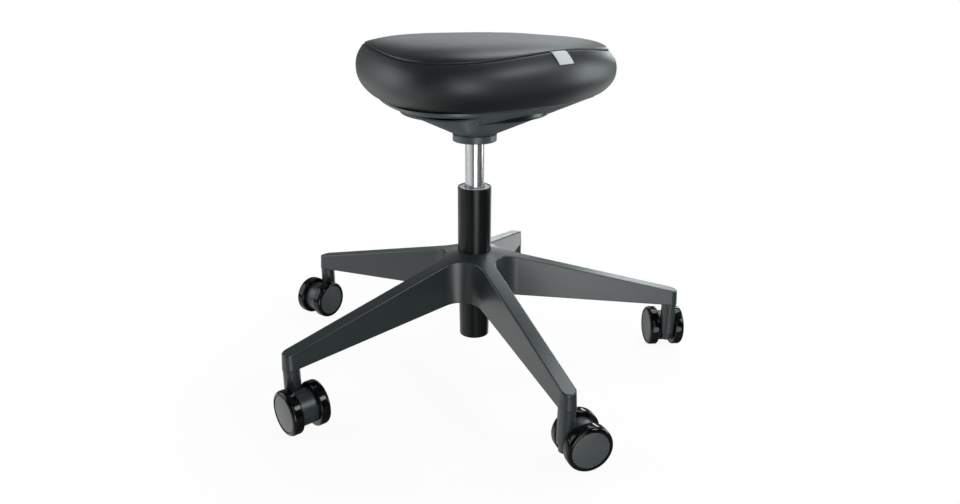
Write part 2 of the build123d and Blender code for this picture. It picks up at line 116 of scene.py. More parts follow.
def leatherette():
    look = leatherGrain
    material, tree, shader = startMaterial("leatherette, embossed PU", Specular_IOR_Level=0.45)
    place = addNode(tree, "ShaderNodeTexCoord").outputs["Object"]
    pebbles = addNode(tree, "ShaderNodeTexVoronoi", {"Vector": place, "Scale": 1 / mm(look["pebble"])},
                      feature="SMOOTH_F1")
    cloud = addNode(tree, "ShaderNodeTexNoise",
                    {"Vector": place, "Scale": 1 / mm(look["cloud"]), "Detail": 4.0})
    fine = addNode(tree, "ShaderNodeTexNoise",
                   {"Vector": place, "Scale": 2 / mm(look["pebble"]), "Detail": 2.0})
    height = addNode(tree, "ShaderNodeMath", {0: pebbles.outputs["Distance"], 1: fine.outputs["Fac"]},
                     operation="ADD")
    tint(tree, shader, cloud.outputs["Fac"], look["dark"], look["light"])
    roughen(tree, shader, cloud.outputs["Fac"], *look["gloss"])
    # Painted shade: the colour goes near black along the seam's groove, weighted by a point attribute
    paintedSeamShade = addNode(tree, "ShaderNodeAttribute", attribute_name="paintedSeamShade").outputs["Fac"]
    hue, sheen = [shader.inputs[socket].links[0].from_socket for socket in ("Base Color", "Roughness")]
    # Inputs 6 and 7 and output 2 of a Mix node are its colours A, B and Result
    shaded = addNode(tree, "ShaderNodeMix", {0: paintedSeamShade, 6: hue, 7: linear(look["paintedSeamShade"])}, data_type="RGBA")
    dulled = addNode(tree, "ShaderNodeMath", {0: sheen, 1: paintedSeamShade}, operation="MAXIMUM")
    tree.links.new(shaded.outputs[2], shader.inputs["Base Color"])
    tree.links.new(dulled.outputs["Value"], shader.inputs["Roughness"])
    emboss(tree, shader, height.outputs["Value"], look["depth"], look["strength"])
    return material


# The stripes of a wave texture lie this far apart at scale 1, in the units of its coordinates
waveSpacing = math.pi / 10

# Polyester tab, plain woven: matt threads over and under, drawn at twice their real width to show
tabWeave = {"thread": 0.9, "dark": "#bfc2c2", "light": "#eaebeb", "depth": 0.15, "strength": 0.5}


def wovenTab():
    look = tabWeave
    material, tree, shader = startMaterial("polyester tab, plain woven", Roughness=0.85, Sheen_Weight=0.3)
    threads = addNode(tree, "ShaderNodeUVMap", uv_map="threads").outputs["UV"]
    waves = []
    for direction in ("X", "Y"):
        wave = addNode(tree, "ShaderNodeTexWave",
                       {"Vector": threads, "Scale": waveSpacing / look["thread"]},
                       wave_type="BANDS", bands_direction=direction)
        waves.append(wave.outputs["Fac"])
    weave = addNode(tree, "ShaderNodeMath", {0: waves[0], 1: waves[1]}, operation="MULTIPLY")
    tint(tree, shader, weave.outputs["Value"], look["dark"], look["light"])
    emboss(tree, shader, weave.outputs["Value"], look["depth"], look["strength"])
    return material


# Speckled and grained finishes share one recipe: cloudy colour, uneven gloss and a fine raised grain.
# Lengths in mm.
def grained(name, dark, light, grain, cloud, gloss, depth, strength, easing=0, **sockets):
    material, tree, shader = startMaterial(name, **sockets)
    place = addNode(tree, "ShaderNodeTexCoord").outputs["Object"]
    speckle = addNode(tree, "ShaderNodeTexNoise", {"Vector": place, "Scale": 1 / mm(grain), "Detail": 3.0})
    patches = addNode(tree, "ShaderNodeTexNoise", {"Vector": place, "Scale": 1 / mm(cloud), "Detail": 3.0})
    tint(tree, shader, patches.outputs["Fac"], dark, light)
    roughen(tree, shader, patches.outputs["Fac"], *gloss)
    emboss(tree, shader, speckle.outputs["Fac"], depth, strength, easing)
    return material


# Turned and ground metal: fine lines round the axis draw each reflection out along it. Lengths in mm.
def turnedMetal(name, dark, light, line, depth, gloss):
    material, tree, shader = startMaterial(name, Metallic=1.0)
    place = addNode(tree, "ShaderNodeTexCoord").outputs["Object"]
    lines = addNode(tree, "ShaderNodeTexWave", {"Vector": place, "Scale": waveSpacing / mm(line)},
                    wave_type="BANDS", bands_direction="Z")
    patch = 20 * line
    wear = addNode(tree, "ShaderNodeTexNoise", {"Vector": place, "Scale": 1 / mm(patch), "Detail": 4.0})
    tint(tree, shader, wear.outputs["Fac"], dark, light)
    roughen(tree, shader, wear.outputs["Fac"], *gloss)
    emboss(tree, shader, lines.outputs["Fac"], depth, 1.0)
    return material


# Acetal, as moulded: milky grey, with painted shade in a dark ring where the bush meets the sliding tube
bushGapShade = {"inside": 15.4, "outside": 15.9, "dark": "#141516", "light": "#c6c8c7"}


def bushWithGapShade():
    look = bushGapShade
    material, tree, shader = startMaterial("acetal, as moulded", Roughness=0.4)
    place = addNode(tree, "ShaderNodeTexCoord").outputs["Object"]
    axes = addNode(tree, "ShaderNodeSeparateXYZ", {"Vector": place})
    across = addNode(tree, "ShaderNodeCombineXYZ", {"X": axes.outputs["X"], "Y": axes.outputs["Y"]})
    reach = addNode(tree, "ShaderNodeVectorMath", {0: across.outputs["Vector"]}, operation="LENGTH")
    # Painted shade: the colour is dark over the inner reach, at the gap against the sliding tube
    gapShade = addNode(tree, "ShaderNodeMapRange",
                  {"Value": reach.outputs["Value"], "From Min": mm(look["inside"]),
                   "From Max": mm(look["outside"])})
    tint(tree, shader, gapShade.outputs["Result"], look["dark"], look["light"])
    return material


# Birch plywood: pale veneers edge on, with glue lines between them
veneers = {"thickness": 1.5, "waver": 0.6, "dark": "#a98558", "light": "#d8b98a"}


def plywood():
    look = veneers
    material, tree, shader = startMaterial("birch plywood", Roughness=0.6)
    place = addNode(tree, "ShaderNodeTexCoord").outputs["Object"]
    layers = addNode(tree, "ShaderNodeTexWave",
                     {"Vector": place, "Scale": waveSpacing / mm(look["thickness"]),
                      "Distortion": look["waver"]},
                     wave_type="BANDS", bands_direction="Z")
    tint(tree, shader, layers.outputs["Fac"], look["dark"], look["light"])
    return material


finishes = {
    "leatherette": leatherette(),
    "woven_label": wovenTab(),
    # die-cast aluminium under a fine-textured powder coat: even satin with a faint grit
    "base_paint": grained("powder coat, fine texture", "#23292a", "#2c3334", grain=0.8, cloud=90,
                          gloss=(0.3, 0.37), depth=0.05, strength=0.15, easing=1.5),
    # stoved paint on drawn tube: smooth, semi-gloss, slight orange peel
    "tube_paint": grained("stoved black paint", "#06090a", "#0b0f10", grain=4.0, cloud=60,
                          gloss=(0.22, 0.28), depth=0.03, strength=0.08, Specular_IOR_Level=0.2),
    # chrome plate on ground tube: bright, with grinding lines drawn at twice their real width
    "chrome": turnedMetal("chrome plate, ground", "#b4b6b7", "#c0c2c3", line=0.8, depth=0.02,
                          gloss=(0.16, 0.2)),
    # glass-filled nylon, moulded with a spark-eroded grain: dull and even
    "carrier_plastic": grained("nylon, spark-eroded grain", "#475052", "#525b5d", grain=0.9, cloud=50,
                               gloss=(0.34, 0.42), depth=0.06, strength=0.2),
    # ABS from a polished mould: deep black with clear reflections
    "ring_plastic": grained("ABS, polished mould", "#0b0c0d", "#101112", grain=8.0, cloud=50,
                            gloss=(0.26, 0.32), depth=0.01, strength=0.05, Specular_IOR_Level=0.3),
    "bush_plastic": bushWithGapShade(),
    # nylon castor body: blue-black, slightly slick
    "castor_plastic": grained("nylon, moulded", "#242a2e", "#2d3337", grain=0.9, cloud=25,
                              gloss=(0.34, 0.42), depth=0.04, strength=0.15),
    # polyurethane tread: black and wet-looking
    "tread": grained("polyurethane, smooth cast", "#060707", "#0a0b0b", grain=6.0, cloud=30,
                     gloss=(0.08, 0.12), depth=0.02, strength=0.06, Specular_IOR_Level=0.2),
    # nylon cap from a satin mould
    "cap_plastic": grained("nylon, satin mould", "#343a3b", "#3f4546", grain=0.7, cloud=30,
                           gloss=(0.36, 0.44), depth=0.03, strength=0.12, Specular_IOR_Level=0.8),
    "steel": turnedMetal("turned steel, zinc plated", "#8f9294", "#b4b6b7", line=0.6, depth=0.03,
                         gloss=(0.25, 0.38)),
    "rubber": grained("moulded rubber", "#111111", "#191919", grain=0.8, cloud=20,
                      gloss=(0.6, 0.75), depth=0.05, strength=0.2),
    "plywood": plywood(),
}

for part in frame["record"]["subparts"]:
    for materialSlot in frame["nodes"][part["node"]].material_slots:
        materialSlot.material = finishes[part["material_slot"]]
print("finishes:", len(finishes))


def newPiece(name, mesh, body, slot):
    piece = bpy.data.objects.new(name, mesh)
    bpy.context.scene.collection.objects.link(piece)
    mesh.materials.clear()
    mesh.materials.append(finishes[slot])
    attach(piece, body)
    return piece


# Seat cushion: a rounded three-cornered form, swelling between its seam and the pan. Lengths in mm.
cushion = {
    "centre": (5.8, 0.35), "cornerTurn": 13.9, "radius": 182.0, "threeLobe": 0.078, "sixLobe": 0.014,
    "crownHeight": 75.8, "crownPower": 5.5, "crownStart": 0.08,
    "seamHeight": 64.6, "seamDip": 5.6, "seamInset": 12.5,
    "creaseHeight": 5.9, "creaseDip": 0.8, "creaseInset": 15.3, "panInset": 28.0, "panGap": 0.3,
    "widestShare": 0.52, "upperPower": 2.2, "lowerPower": 2.4, "tuckPower": 1.9,
    # the painted shade width sets how far the painted shade spreads from the seam's groove
    "grooveDepth": 1.6, "grooveWidth": 0.8, "paintedSeamShadeWidth": 1.1,
    "puckerDepth": 0.2, "puckerLength": 11.0, "puckerReach": 9.0,
    "columns": 288, "seed": 7,
}
# Mesh rows from the pan up to the seam by count, and beyond it by share of the crown or reach from its middle
seatRows = {
    "underside": 8, "tuck": 6, "lowerSide": 14, "upperSide": 12, "nearSeam": (0.95, 0.975, 0.99),
    "roll": (0, 0.04, 0.08, 0.14, 0.21, 0.3, 0.4, 0.5, 0.6, 0.7, 0.79, 0.87),
    "top": (0.64, 0.56, 0.46, 0.35, 0.24, 0.12),
}
stuffing = {"columns": 96, "voxel": 5.0, "startInset": 4.0, "pressure": 4.0, "quality": 5, "frames": 20,
            "cap": 4.0, "keep": 1.0, "smoothing": 40}
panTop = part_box("seat_pan")[1].z * 1000


def seatPoint(turn, radius, height):
    angle = math.radians(turn)
    x = cushion["centre"][0] + radius * math.cos(angle)
    y = cushion["centre"][1] + radius * math.sin(angle)
    return Vector((mm(x), mm(y), mm(panTop + height)))


def seatSection(turn):
    form = cushion
    lobe = math.cos(math.radians(3 * (turn - form["cornerTurn"])))
    doubleLobe = math.cos(math.radians(6 * (turn - form["cornerTurn"])))
    widest = form["radius"] * (1 + form["threeLobe"] * lobe + form["sixLobe"] * doubleLobe)
    seam = form["seamHeight"] - form["seamDip"] * lobe
    crease = form["creaseHeight"] - form["creaseDip"] * lobe
    middle = crease + form["widestShare"] * (seam - crease)
    return SimpleNamespace(widest=widest, seam=seam, crease=crease, middle=middle)


def underside(turn, share):
    return seatPoint(turn, share * (seatSection(turn).widest - cushion["panInset"]), cushion["panGap"])


def tuck(turn, share):
    at = seatSection(turn)
    inset = cushion["panInset"] + share * (cushion["creaseInset"] - cushion["panInset"])
    rise = (at.crease - cushion["panGap"]) * share ** cushion["tuckPower"]
    return seatPoint(turn, at.widest - inset, cushion["panGap"] + rise)


def lowerSide(turn, share):
    at = seatSection(turn)
    inset = cushion["creaseInset"] * (1 - share) ** cushion["lowerPower"]
    return seatPoint(turn, at.widest - inset, at.crease + share * (at.middle - at.crease))


def upperSide(turn, share):
    at = seatSection(turn)
    inset = cushion["seamInset"] * share ** cushion["upperPower"]
    return seatPoint(turn, at.widest - inset, at.middle + share * (at.seam - at.middle))


def crown(turn, share):
    at = seatSection(turn)
    start = cushion["crownStart"]  # the panel leaves the seam already leaning in
    along = start + (1 - start) * share
    reach = ((1 - along ** 2) / (1 - start ** 2)) ** (1 / cushion["crownPower"])
    height = at.seam + share * (cushion["crownHeight"] - at.seam)
    return seatPoint(turn, (at.widest - cushion["seamInset"]) * reach, height)


def crownShare(reach):
    start = cushion["crownStart"]
    along = math.sqrt(1 - (1 - start ** 2) * reach ** cushion["crownPower"])
    return (along - start) / (1 - start)


def seatRings():
    rows = seatRows
    rings = [(underside, step / rows["underside"]) for step in range(1, rows["underside"])]
    counted = ((tuck, rows["tuck"]), (lowerSide, rows["lowerSide"]), (upperSide, rows["upperSide"]))
    for surface, count in counted:
        rings += [(surface, step / count) for step in range(count)]
    rings += [(upperSide, share) for share in rows["nearSeam"]]
    rings += [(crown, share) for share in rows["roll"]]
    rings += [(crown, crownShare(reach)) for reach in rows["top"]]
    return rings


def seatMesh(name, columns):
    shape = bmesh.new()
    turns = [360 * column / columns for column in range(columns)]
    foot = shape.verts.new(seatPoint(0, 0, cushion["panGap"]))
    top = shape.verts.new(seatPoint(0, 0, cushion["crownHeight"]))
    rings = [[shape.verts.new(surface(turn, share)) for turn in turns] for surface, share in seatRings()]
    for lower, upper in zip(rings, rings[1:]):
        for column in range(columns):
            after = (column + 1) % columns
            shape.faces.new((lower[column], lower[after], upper[after], upper[column]))
    for column in range(columns):
        after = (column + 1) % columns
        shape.faces.new((foot, rings[0][after], rings[0][column]))
        shape.faces.new((top, rings[-1][column], rings[-1][after]))
    bmesh.ops.recalc_face_normals(shape, faces=shape.faces)
    mesh = bpy.data.meshes.new(name)
    shape.to_mesh(mesh)
    shape.free()
    mesh.shade_smooth()
    return mesh


# The stuffing is simulated on a slightly smaller copy, and the swell is laid over the sewn form
def stuffedSurface():
    plan = stuffing
    mesh = seatMesh("stuffing", plan["columns"])
    for vertex, normal in zip(mesh.vertices, [v.normal.copy() for v in mesh.vertices]):
        vertex.co -= normal * mm(plan["startInset"])
    pad = bpy.data.objects.new("stuffing", mesh)
    bpy.context.scene.collection.objects.link(pad)
    remesh = pad.modifiers.new("even cloth", "REMESH")
    remesh.mode = "VOXEL"
    remesh.voxel_size = mm(plan["voxel"])
    even = bpy.data.meshes.new_from_object(pad.evaluated_get(bpy.context.evaluated_depsgraph_get()))
    pad.modifiers.clear()
    pad.data = even
    rest = [v.co.copy() for v in even.vertices]
    held = pad.vertex_groups.new(name="held on the pan")
    creaseTop = mm(panTop + cushion["creaseHeight"])
    held.add([v.index for v in even.vertices if v.co.z < creaseTop], 1.0, "REPLACE")
    cloth = pad.modifiers.new("stuffing", "CLOTH")
    cloth.settings.use_pressure = True
    cloth.settings.uniform_pressure_force = plan["pressure"]
    cloth.settings.vertex_group_mass = held.name
    cloth.settings.effector_weights.gravity = 0
    cloth.settings.quality = plan["quality"]
    cloth.point_cache.frame_start = 1
    cloth.point_cache.frame_end = plan["frames"]
    for step in range(1, plan["frames"] + 1):
        bpy.context.scene.frame_set(step)
    swollen = pad.evaluated_get(bpy.context.evaluated_depsgraph_get()).to_mesh()
    points = []
    for start, vertex in zip(rest, swollen.vertices):
        move = vertex.co - start
        points.append(start + move * min(1.0, mm(plan["cap"]) / max(move.length, 1e-9)))
    tree = BVHTree.FromPolygons(points, [tuple(p.vertices) for p in swollen.polygons])
    bpy.context.scene.frame_set(1)
    bpy.data.objects.remove(pad)
    return tree


def layOverStuffing(mesh, surface):
    limit = mm(stuffing["cap"] + stuffing["keep"])
    swell = {}
    for vertex in mesh.vertices:
        depth = surface.ray_cast(vertex.co + vertex.normal * limit, -vertex.normal, 2 * limit)[3]
        if depth is not None:
            swell[vertex.index] = limit - depth
    middle = sorted(swell.values())[len(swell) // 2]
    keep = mm(stuffing["keep"])
    moves = [max(-keep, min(keep, swell.get(v.index, middle) - middle)) for v in mesh.vertices]
    for step in range(stuffing["smoothing"]):
        total = [0.0] * len(moves)
        count = [0] * len(moves)
        for edge in mesh.edges:
            a, b = edge.vertices
            total[a] += moves[b]
            total[b] += moves[a]
            count[a] += 1
            count[b] += 1
        moves = [0.5 * move + 0.5 * t / max(n, 1) for move, t, n in zip(moves, total, count)]
    creaseTop = panTop + cushion["creaseHeight"]
    for vertex, normal, move in zip(mesh.vertices, [v.normal.copy() for v in mesh.vertices], moves):
        above = (vertex.co.z * 1000 - creaseTop) / cushion["creaseInset"]
        vertex.co += normal * move * max(0.0, min(1.0, above))


def sewSeam(mesh):
    form = cushion
    noise.seed_set(form["seed"])
    # A point attribute weights the painted shade that darkens the leatherette along the seam's groove
    paintedSeamShade = mesh.attributes.new("paintedSeamShade", "FLOAT", "POINT")
    for vertex, normal in zip(mesh.vertices, [v.normal.copy() for v in mesh.vertices]):
        x, y = vertex.co.x * 1000 - form["centre"][0], vertex.co.y * 1000 - form["centre"][1]
        height = vertex.co.z * 1000 - panTop
        turn = math.degrees(math.atan2(y, x))
        at = seatSection(turn)
        if height < at.middle:
            continue
        away = math.hypot(math.hypot(x, y) - at.widest + form["seamInset"], height - at.seam)
        groove = form["grooveDepth"] * math.exp(-(away / form["grooveWidth"]) ** 2)
        ripple = noise.noise(Vector((x, y, 0)) / form["puckerLength"])
        pucker = form["puckerDepth"] * ripple * math.exp(-(away / form["puckerReach"]) ** 2)
        vertex.co -= normal * mm(groove + pucker)
        paintedSeamShade.data[vertex.index].value = math.exp(-(away / form["paintedSeamShadeWidth"]) ** 2)


cushionMesh = seatMesh("seatCushion", cushion["columns"])
layOverStuffing(cushionMesh, stuffedSurface())
sewSeam(cushionMesh)
cushionMesh.update()
seatCushion = newPiece("seatCushion", cushionMesh, "seat", "leatherette")
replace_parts(seatCushion, "seat_cushion")
cushionSurface = BVHTree.FromPolygons([v.co for v in cushionMesh.vertices],
                                      [tuple(p.vertices) for p in cushionMesh.polygons])
print("cushion:", len(cushionMesh.vertices), "points")


# Stitches lie in the seam's groove, one after another. Lengths in mm.
stitches = {"pitch": 4.0, "length": 3.0, "thickness": 0.55, "sink": 0.4, "columns": 360,
            "segments": 6, "rings": 5}


def stitchTree():
    tree = bpy.data.node_groups.new("stitches along a seam", "GeometryNodeTree")
    tree.interface.new_socket("Geometry", in_out="INPUT", socket_type="NodeSocketGeometry")
    for name in ("Pitch", "Length", "Thickness"):
        tree.interface.new_socket(name, in_out="INPUT", socket_type="NodeSocketFloat")
    tree.interface.new_socket("Thread", in_out="INPUT", socket_type="NodeSocketMaterial")
    tree.interface.new_socket("Geometry", in_out="OUTPUT", socket_type="NodeSocketGeometry")
    given = addNode(tree, "NodeGroupInput").outputs
    spots = addNode(tree, "GeometryNodeCurveToPoints", {"Curve": given["Geometry"], "Length": given["Pitch"]},
                    mode="LENGTH")
    bead = addNode(tree, "GeometryNodeMeshUVSphere",
                   {"Segments": stitches["segments"], "Rings": stitches["rings"], "Radius": 0.5})
    size = addNode(tree, "ShaderNodeCombineXYZ", {"X": given["Thickness"], "Y": given["Thickness"],
                                                  "Z": given["Length"]})
    thread = addNode(tree, "GeometryNodeTransform", {"Geometry": bead.outputs["Mesh"],
                                                     "Scale": size.outputs["Vector"]})
    placed = addNode(tree, "GeometryNodeInstanceOnPoints",
                     {"Points": spots.outputs["Points"], "Instance": thread.outputs["Geometry"],
                      "Rotation": spots.outputs["Rotation"]})
    real = addNode(tree, "GeometryNodeRealizeInstances", {"Geometry": placed.outputs["Instances"]})
    dyed = addNode(tree, "GeometryNodeSetMaterial", {"Geometry": real.outputs["Geometry"],
                                                     "Material": given["Thread"]})
    addNode(tree, "NodeGroupOutput", {"Geometry": dyed.outputs["Geometry"]})
    return tree


def seamStitches():
    line = bpy.data.curves.new("seam line", "CURVE")
    line.dimensions = "3D"
    path = line.splines.new("POLY")
    path.points.add(stitches["columns"] - 1)
    path.use_cyclic_u = True
    for column, point in enumerate(path.points):
        turn = 360 * column / stitches["columns"]
        spot, normal = cushionSurface.find_nearest(upperSide(turn, 1))[:2]
        point.co = (*(spot - normal * mm(stitches["sink"])), 1)
    guide = bpy.data.objects.new("seam line", line)
    bpy.context.scene.collection.objects.link(guide)
    tree = stitchTree()
    modifier = guide.modifiers.new("stitches", "NODES")
    modifier.node_group = tree
    values = {"Pitch": mm(stitches["pitch"]), "Length": mm(stitches["length"]),
              "Thickness": mm(stitches["thickness"]), "Thread": finishes["leatherette"]}
    for socket in tree.interface.items_tree:
        if socket.in_out == "INPUT" and socket.name in values:
            modifier[socket.identifier] = values[socket.name]
    mesh = bpy.data.meshes.new_from_object(guide.evaluated_get(bpy.context.evaluated_depsgraph_get()))
    guide.modifiers.clear()
    bpy.data.objects.remove(guide)
    mesh.shade_smooth()
    newPiece("seamStitches", mesh, "seat", "leatherette")


seamStitches()
print("stitches sewn")


# Plain tab, folded double and caught in the seam. Lengths in mm.
tab = {"turn": -51.6, "width": 24.0, "drop": 17.0, "slant": 6.0, "across": 24, "down": 18, "gap": 0.45,
       "thickness": 0.9, "tucked": 1.5, "edge": 0.25, "edgeSteps": 2}


def seamTab():
    shape = bmesh.new()
    threads = shape.loops.layers.uv.new("threads")
    at = seatSection(tab["turn"])
    sheets = []
    for lift in (tab["gap"], tab["gap"] + tab["thickness"]):
        rows = []
        for row in range(tab["down"] + 1):
            below = tab["drop"] * row / tab["down"]
            share = 1 - below / math.hypot(at.seam - at.middle, cushion["seamInset"])
            rise = lift - tab["tucked"] * max(0.0, 1 - below / tab["tucked"])
            lean = tab["slant"] * (row / tab["down"] - 0.5)
            line = []
            for column in range(tab["across"] + 1):
                side = tab["width"] * (column / tab["across"] - 0.5) + lean
                turn = tab["turn"] + math.degrees(side / (at.widest - cushion["seamInset"]))
                spot, normal = cushionSurface.find_nearest(upperSide(turn, share))[:2]
                line.append((shape.verts.new(spot + normal * mm(rise)), side, below))
            rows.append(line)
        sheets.append(rows)
    quads = []
    for rows, flip in ((sheets[0], True), (sheets[1], False)):
        for upper, lower in zip(rows, rows[1:]):
            for column in range(tab["across"]):
                quad = (upper[column], lower[column], lower[column + 1], upper[column + 1])
                quads.append(quad[::-1] if flip else quad)
    inner, outer = sheets
    rims = [([r[0] for r in inner], [r[0] for r in outer]), (inner[-1], outer[-1]),
            ([r[-1] for r in inner][::-1], [r[-1] for r in outer][::-1]), (inner[0][::-1], outer[0][::-1])]
    for near, far in rims:
        for place in range(len(near) - 1):
            quads.append((near[place], near[place + 1], far[place + 1], far[place]))
    for quad in quads:
        face = shape.faces.new([corner[0] for corner in quad])
        for loop, corner in zip(face.loops, quad):
            loop[threads].uv = (corner[1], corner[2])
    bmesh.ops.recalc_face_normals(shape, faces=shape.faces)
    mesh = bpy.data.meshes.new("seamTab")
    shape.to_mesh(mesh)
    shape.free()
    mesh.shade_smooth()
    piece = newPiece("seamTab", mesh, "seat", "woven_label")
    edge = piece.modifiers.new("soft edge", "BEVEL")
    edge.width = mm(tab["edge"])
    edge.segments = tab["edgeSteps"]
    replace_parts(piece, "seam_label")


seamTab()
print("tab sewn in")


# Castor wheels: each tread and cap is turned from its section on the wheel's spin axis. Lengths in mm.
wheelTurning = {"castors": 5, "sides": 96, "roundSteps": 7, "sharpAngle": 50, "poleMerge": 0.001}
tread = {"shoulder": 5.2, "innerShoulder": 2.5, "capMargin": 5.6, "capDepth": 3.0}
wheelCap = {"trim": 1.6, "edge": 0.8, "dome": 1.4, "domeSteps": 8}
spins = {joint["name"]: joint for joint in frame["record"]["behaviour"]["joints"]}


def quarterRound(middleReach, middleSide, size, startAngle):
    steps = wheelTurning["roundSteps"]
    angles = [math.radians(startAngle + 90 * step / steps) for step in range(steps + 1)]
    return [(middleReach + size * math.cos(angle), middleSide + size * math.sin(angle)) for angle in angles]


def treadSection(reaches, alongs):
    bore, radius, inside, outside = min(reaches), max(reaches), min(alongs), max(alongs)
    inner, outer = mm(tread["innerShoulder"]), mm(tread["shoulder"])
    seat, floor = radius - mm(tread["capMargin"]), outside - mm(tread["capDepth"])
    return ([(bore, inside)] + quarterRound(radius - inner, inside + inner, inner, -90)
            + quarterRound(radius - outer, outside - outer, outer, 0)
            + [(seat, outside), (seat, floor), (bore, floor)])


def capSection(reaches, alongs):
    inside, outside = min(alongs), max(alongs)
    edge, dome = mm(wheelCap["edge"]), mm(wheelCap["dome"])
    radius = max(reaches) - mm(wheelCap["trim"])  # the cap ends where the tread's rounded shoulder begins
    flat, rim = radius - edge, outside - dome
    shares = [1 - step / wheelCap["domeSteps"] for step in range(1, wheelCap["domeSteps"] + 1)]
    return ([(0, inside), (radius, inside)] + quarterRound(flat, rim - edge, edge, 0)
            + [(flat * share, outside - dome * share ** 2) for share in shares])


def turnOnAxle(name, node, wheel, slot, makeSection):
    spin = spins[f"{wheel}_spin"]
    middle, axis = Vector(spin["pos_m"]), Vector(spin["axis"]).normalized()
    points = [vertex.co - middle for vertex in frame["nodes"][node].data.vertices]
    if sum(point.dot(axis) for point in points) < 0:
        axis.negate()
    alongs = [point.dot(axis) for point in points]
    reaches = [(point - axis * along).length for point, along in zip(points, alongs)]
    section = makeSection(reaches, alongs)
    up = Vector((0, 0, 1))
    ahead = axis.cross(up)
    shape = bmesh.new()
    rings = []
    for step in range(wheelTurning["sides"]):
        turn = 2 * math.pi * step / wheelTurning["sides"]
        out = up * math.cos(turn) + ahead * math.sin(turn)
        rings.append([shape.verts.new(middle + axis * along + out * reach) for reach, along in section])
    for ring, following in zip(rings, rings[1:] + rings[:1]):
        for place in range(len(section)):
            shape.faces.new((ring[place - 1], ring[place], following[place], following[place - 1]))
    bmesh.ops.remove_doubles(shape, verts=shape.verts, dist=mm(wheelTurning["poleMerge"]))
    bmesh.ops.recalc_face_normals(shape, faces=shape.faces)
    mesh = bpy.data.meshes.new(name)
    shape.to_mesh(mesh)
    shape.free()
    mesh.shade_smooth()
    mesh.set_sharp_from_angle(angle=math.radians(wheelTurning["sharpAngle"]))
    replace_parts(newPiece(name, mesh, wheel, slot), node)


for castor in range(1, wheelTurning["castors"] + 1):
    for side in ("left", "right"):
        wheel = f"wheel_{castor}_{side}"
        treadNode, capNode = f"castor_{castor}_wheel_{side}", f"castor_{castor}_cap_{side}"
        turnOnAxle(f"castor{castor}Tread.{side}", treadNode, wheel, "tread", treadSection)
        turnOnAxle(f"castor{castor}Cap.{side}", capNode, wheel, "cap_plastic", capSection)
print("wheels turned")


# Studio: a round pale floor, a white room behind it, soft lamps above and all round. Lengths in m. The room's
# levels are what gloss sees of it, and they fade into each other over spans of a direction's x, y and z.
studio = {
    "floorRadius": 0.62, "floorSides": 96, "floorColour": "#efefed", "shadowShare": 0.06,
    "shadowFade": (0.34, 0.58), "frontLevel": 0.4, "leftLevel": 1.1, "rightLevel": 0.1, "upperLevel": 0.2,
    "sideFade": (-0.7, 0.0), "depthFade": (-0.6, -0.1), "heightFade": (-0.3, -0.05),
    "ambient": 0.16, "lampAim": (0, 0, 0.3),
}
# Bright openings in the room, by the direction in which they lie, in degrees
windows = {
    "front": {"turn": -77.0, "rise": -5.0, "edge": (18.0, 14.0), "level": 5.5},
    "frontLeft": {"turn": -145.0, "rise": -22.0, "edge": (32.0, 14.0), "level": 0.6},
    "back": {"turn": 58.0, "rise": -22.0, "edge": (16.0, 8.0), "level": 1.4},
}
lampTone = "#f6fdff"
lamps = {
    "back": {"at": (0.05, 1.7, 0.78), "size": (0.9, 0.44), "power": 2.3},
    "backRight": {"at": (1.05, 1.7, 0.75), "size": (0.5, 0.3), "power": 5.5},
    "backLow": {"at": (0.12, 1.7, 0.15), "size": (0.36, 0.2), "power": 1.2},
    "overhead": {"at": (0.6, 1.0, 1.9), "size": (1.2, 1.2), "power": 22},
    "left": {"at": (-1.6, 0.1, 0.7), "size": (1.2, 1.2), "power": 13},
    "rightBack": {"at": (1.65, 0.45, 0.4), "size": (0.6, 0.8), "power": 11},
    "rightFront": {"at": (1.35, -0.85, 1.25), "size": (0.6, 0.6), "power": 15},
    "front": {"at": (0.2, -1.9, 1.2), "size": (1.4, 1.4), "power": 8},
}
photoCamera = {"at": (0.0, -1.0608, 0.5627), "pitchDown": 20.228, "yawRight": 0.462, "roll": 0.326,
               "focalPixels": 739.93, "frameWidth": 960, "sensor": 36.0, "clipEnd": 200}


def paleRays(tree):
    rays = addNode(tree, "ShaderNodeLightPath").outputs
    seen = addNode(tree, "ShaderNodeMath", {0: rays["Is Camera Ray"], 1: rays["Is Transmission Ray"]},
                   operation="MAXIMUM")
    return seen.outputs["Value"], rays["Is Glossy Ray"]


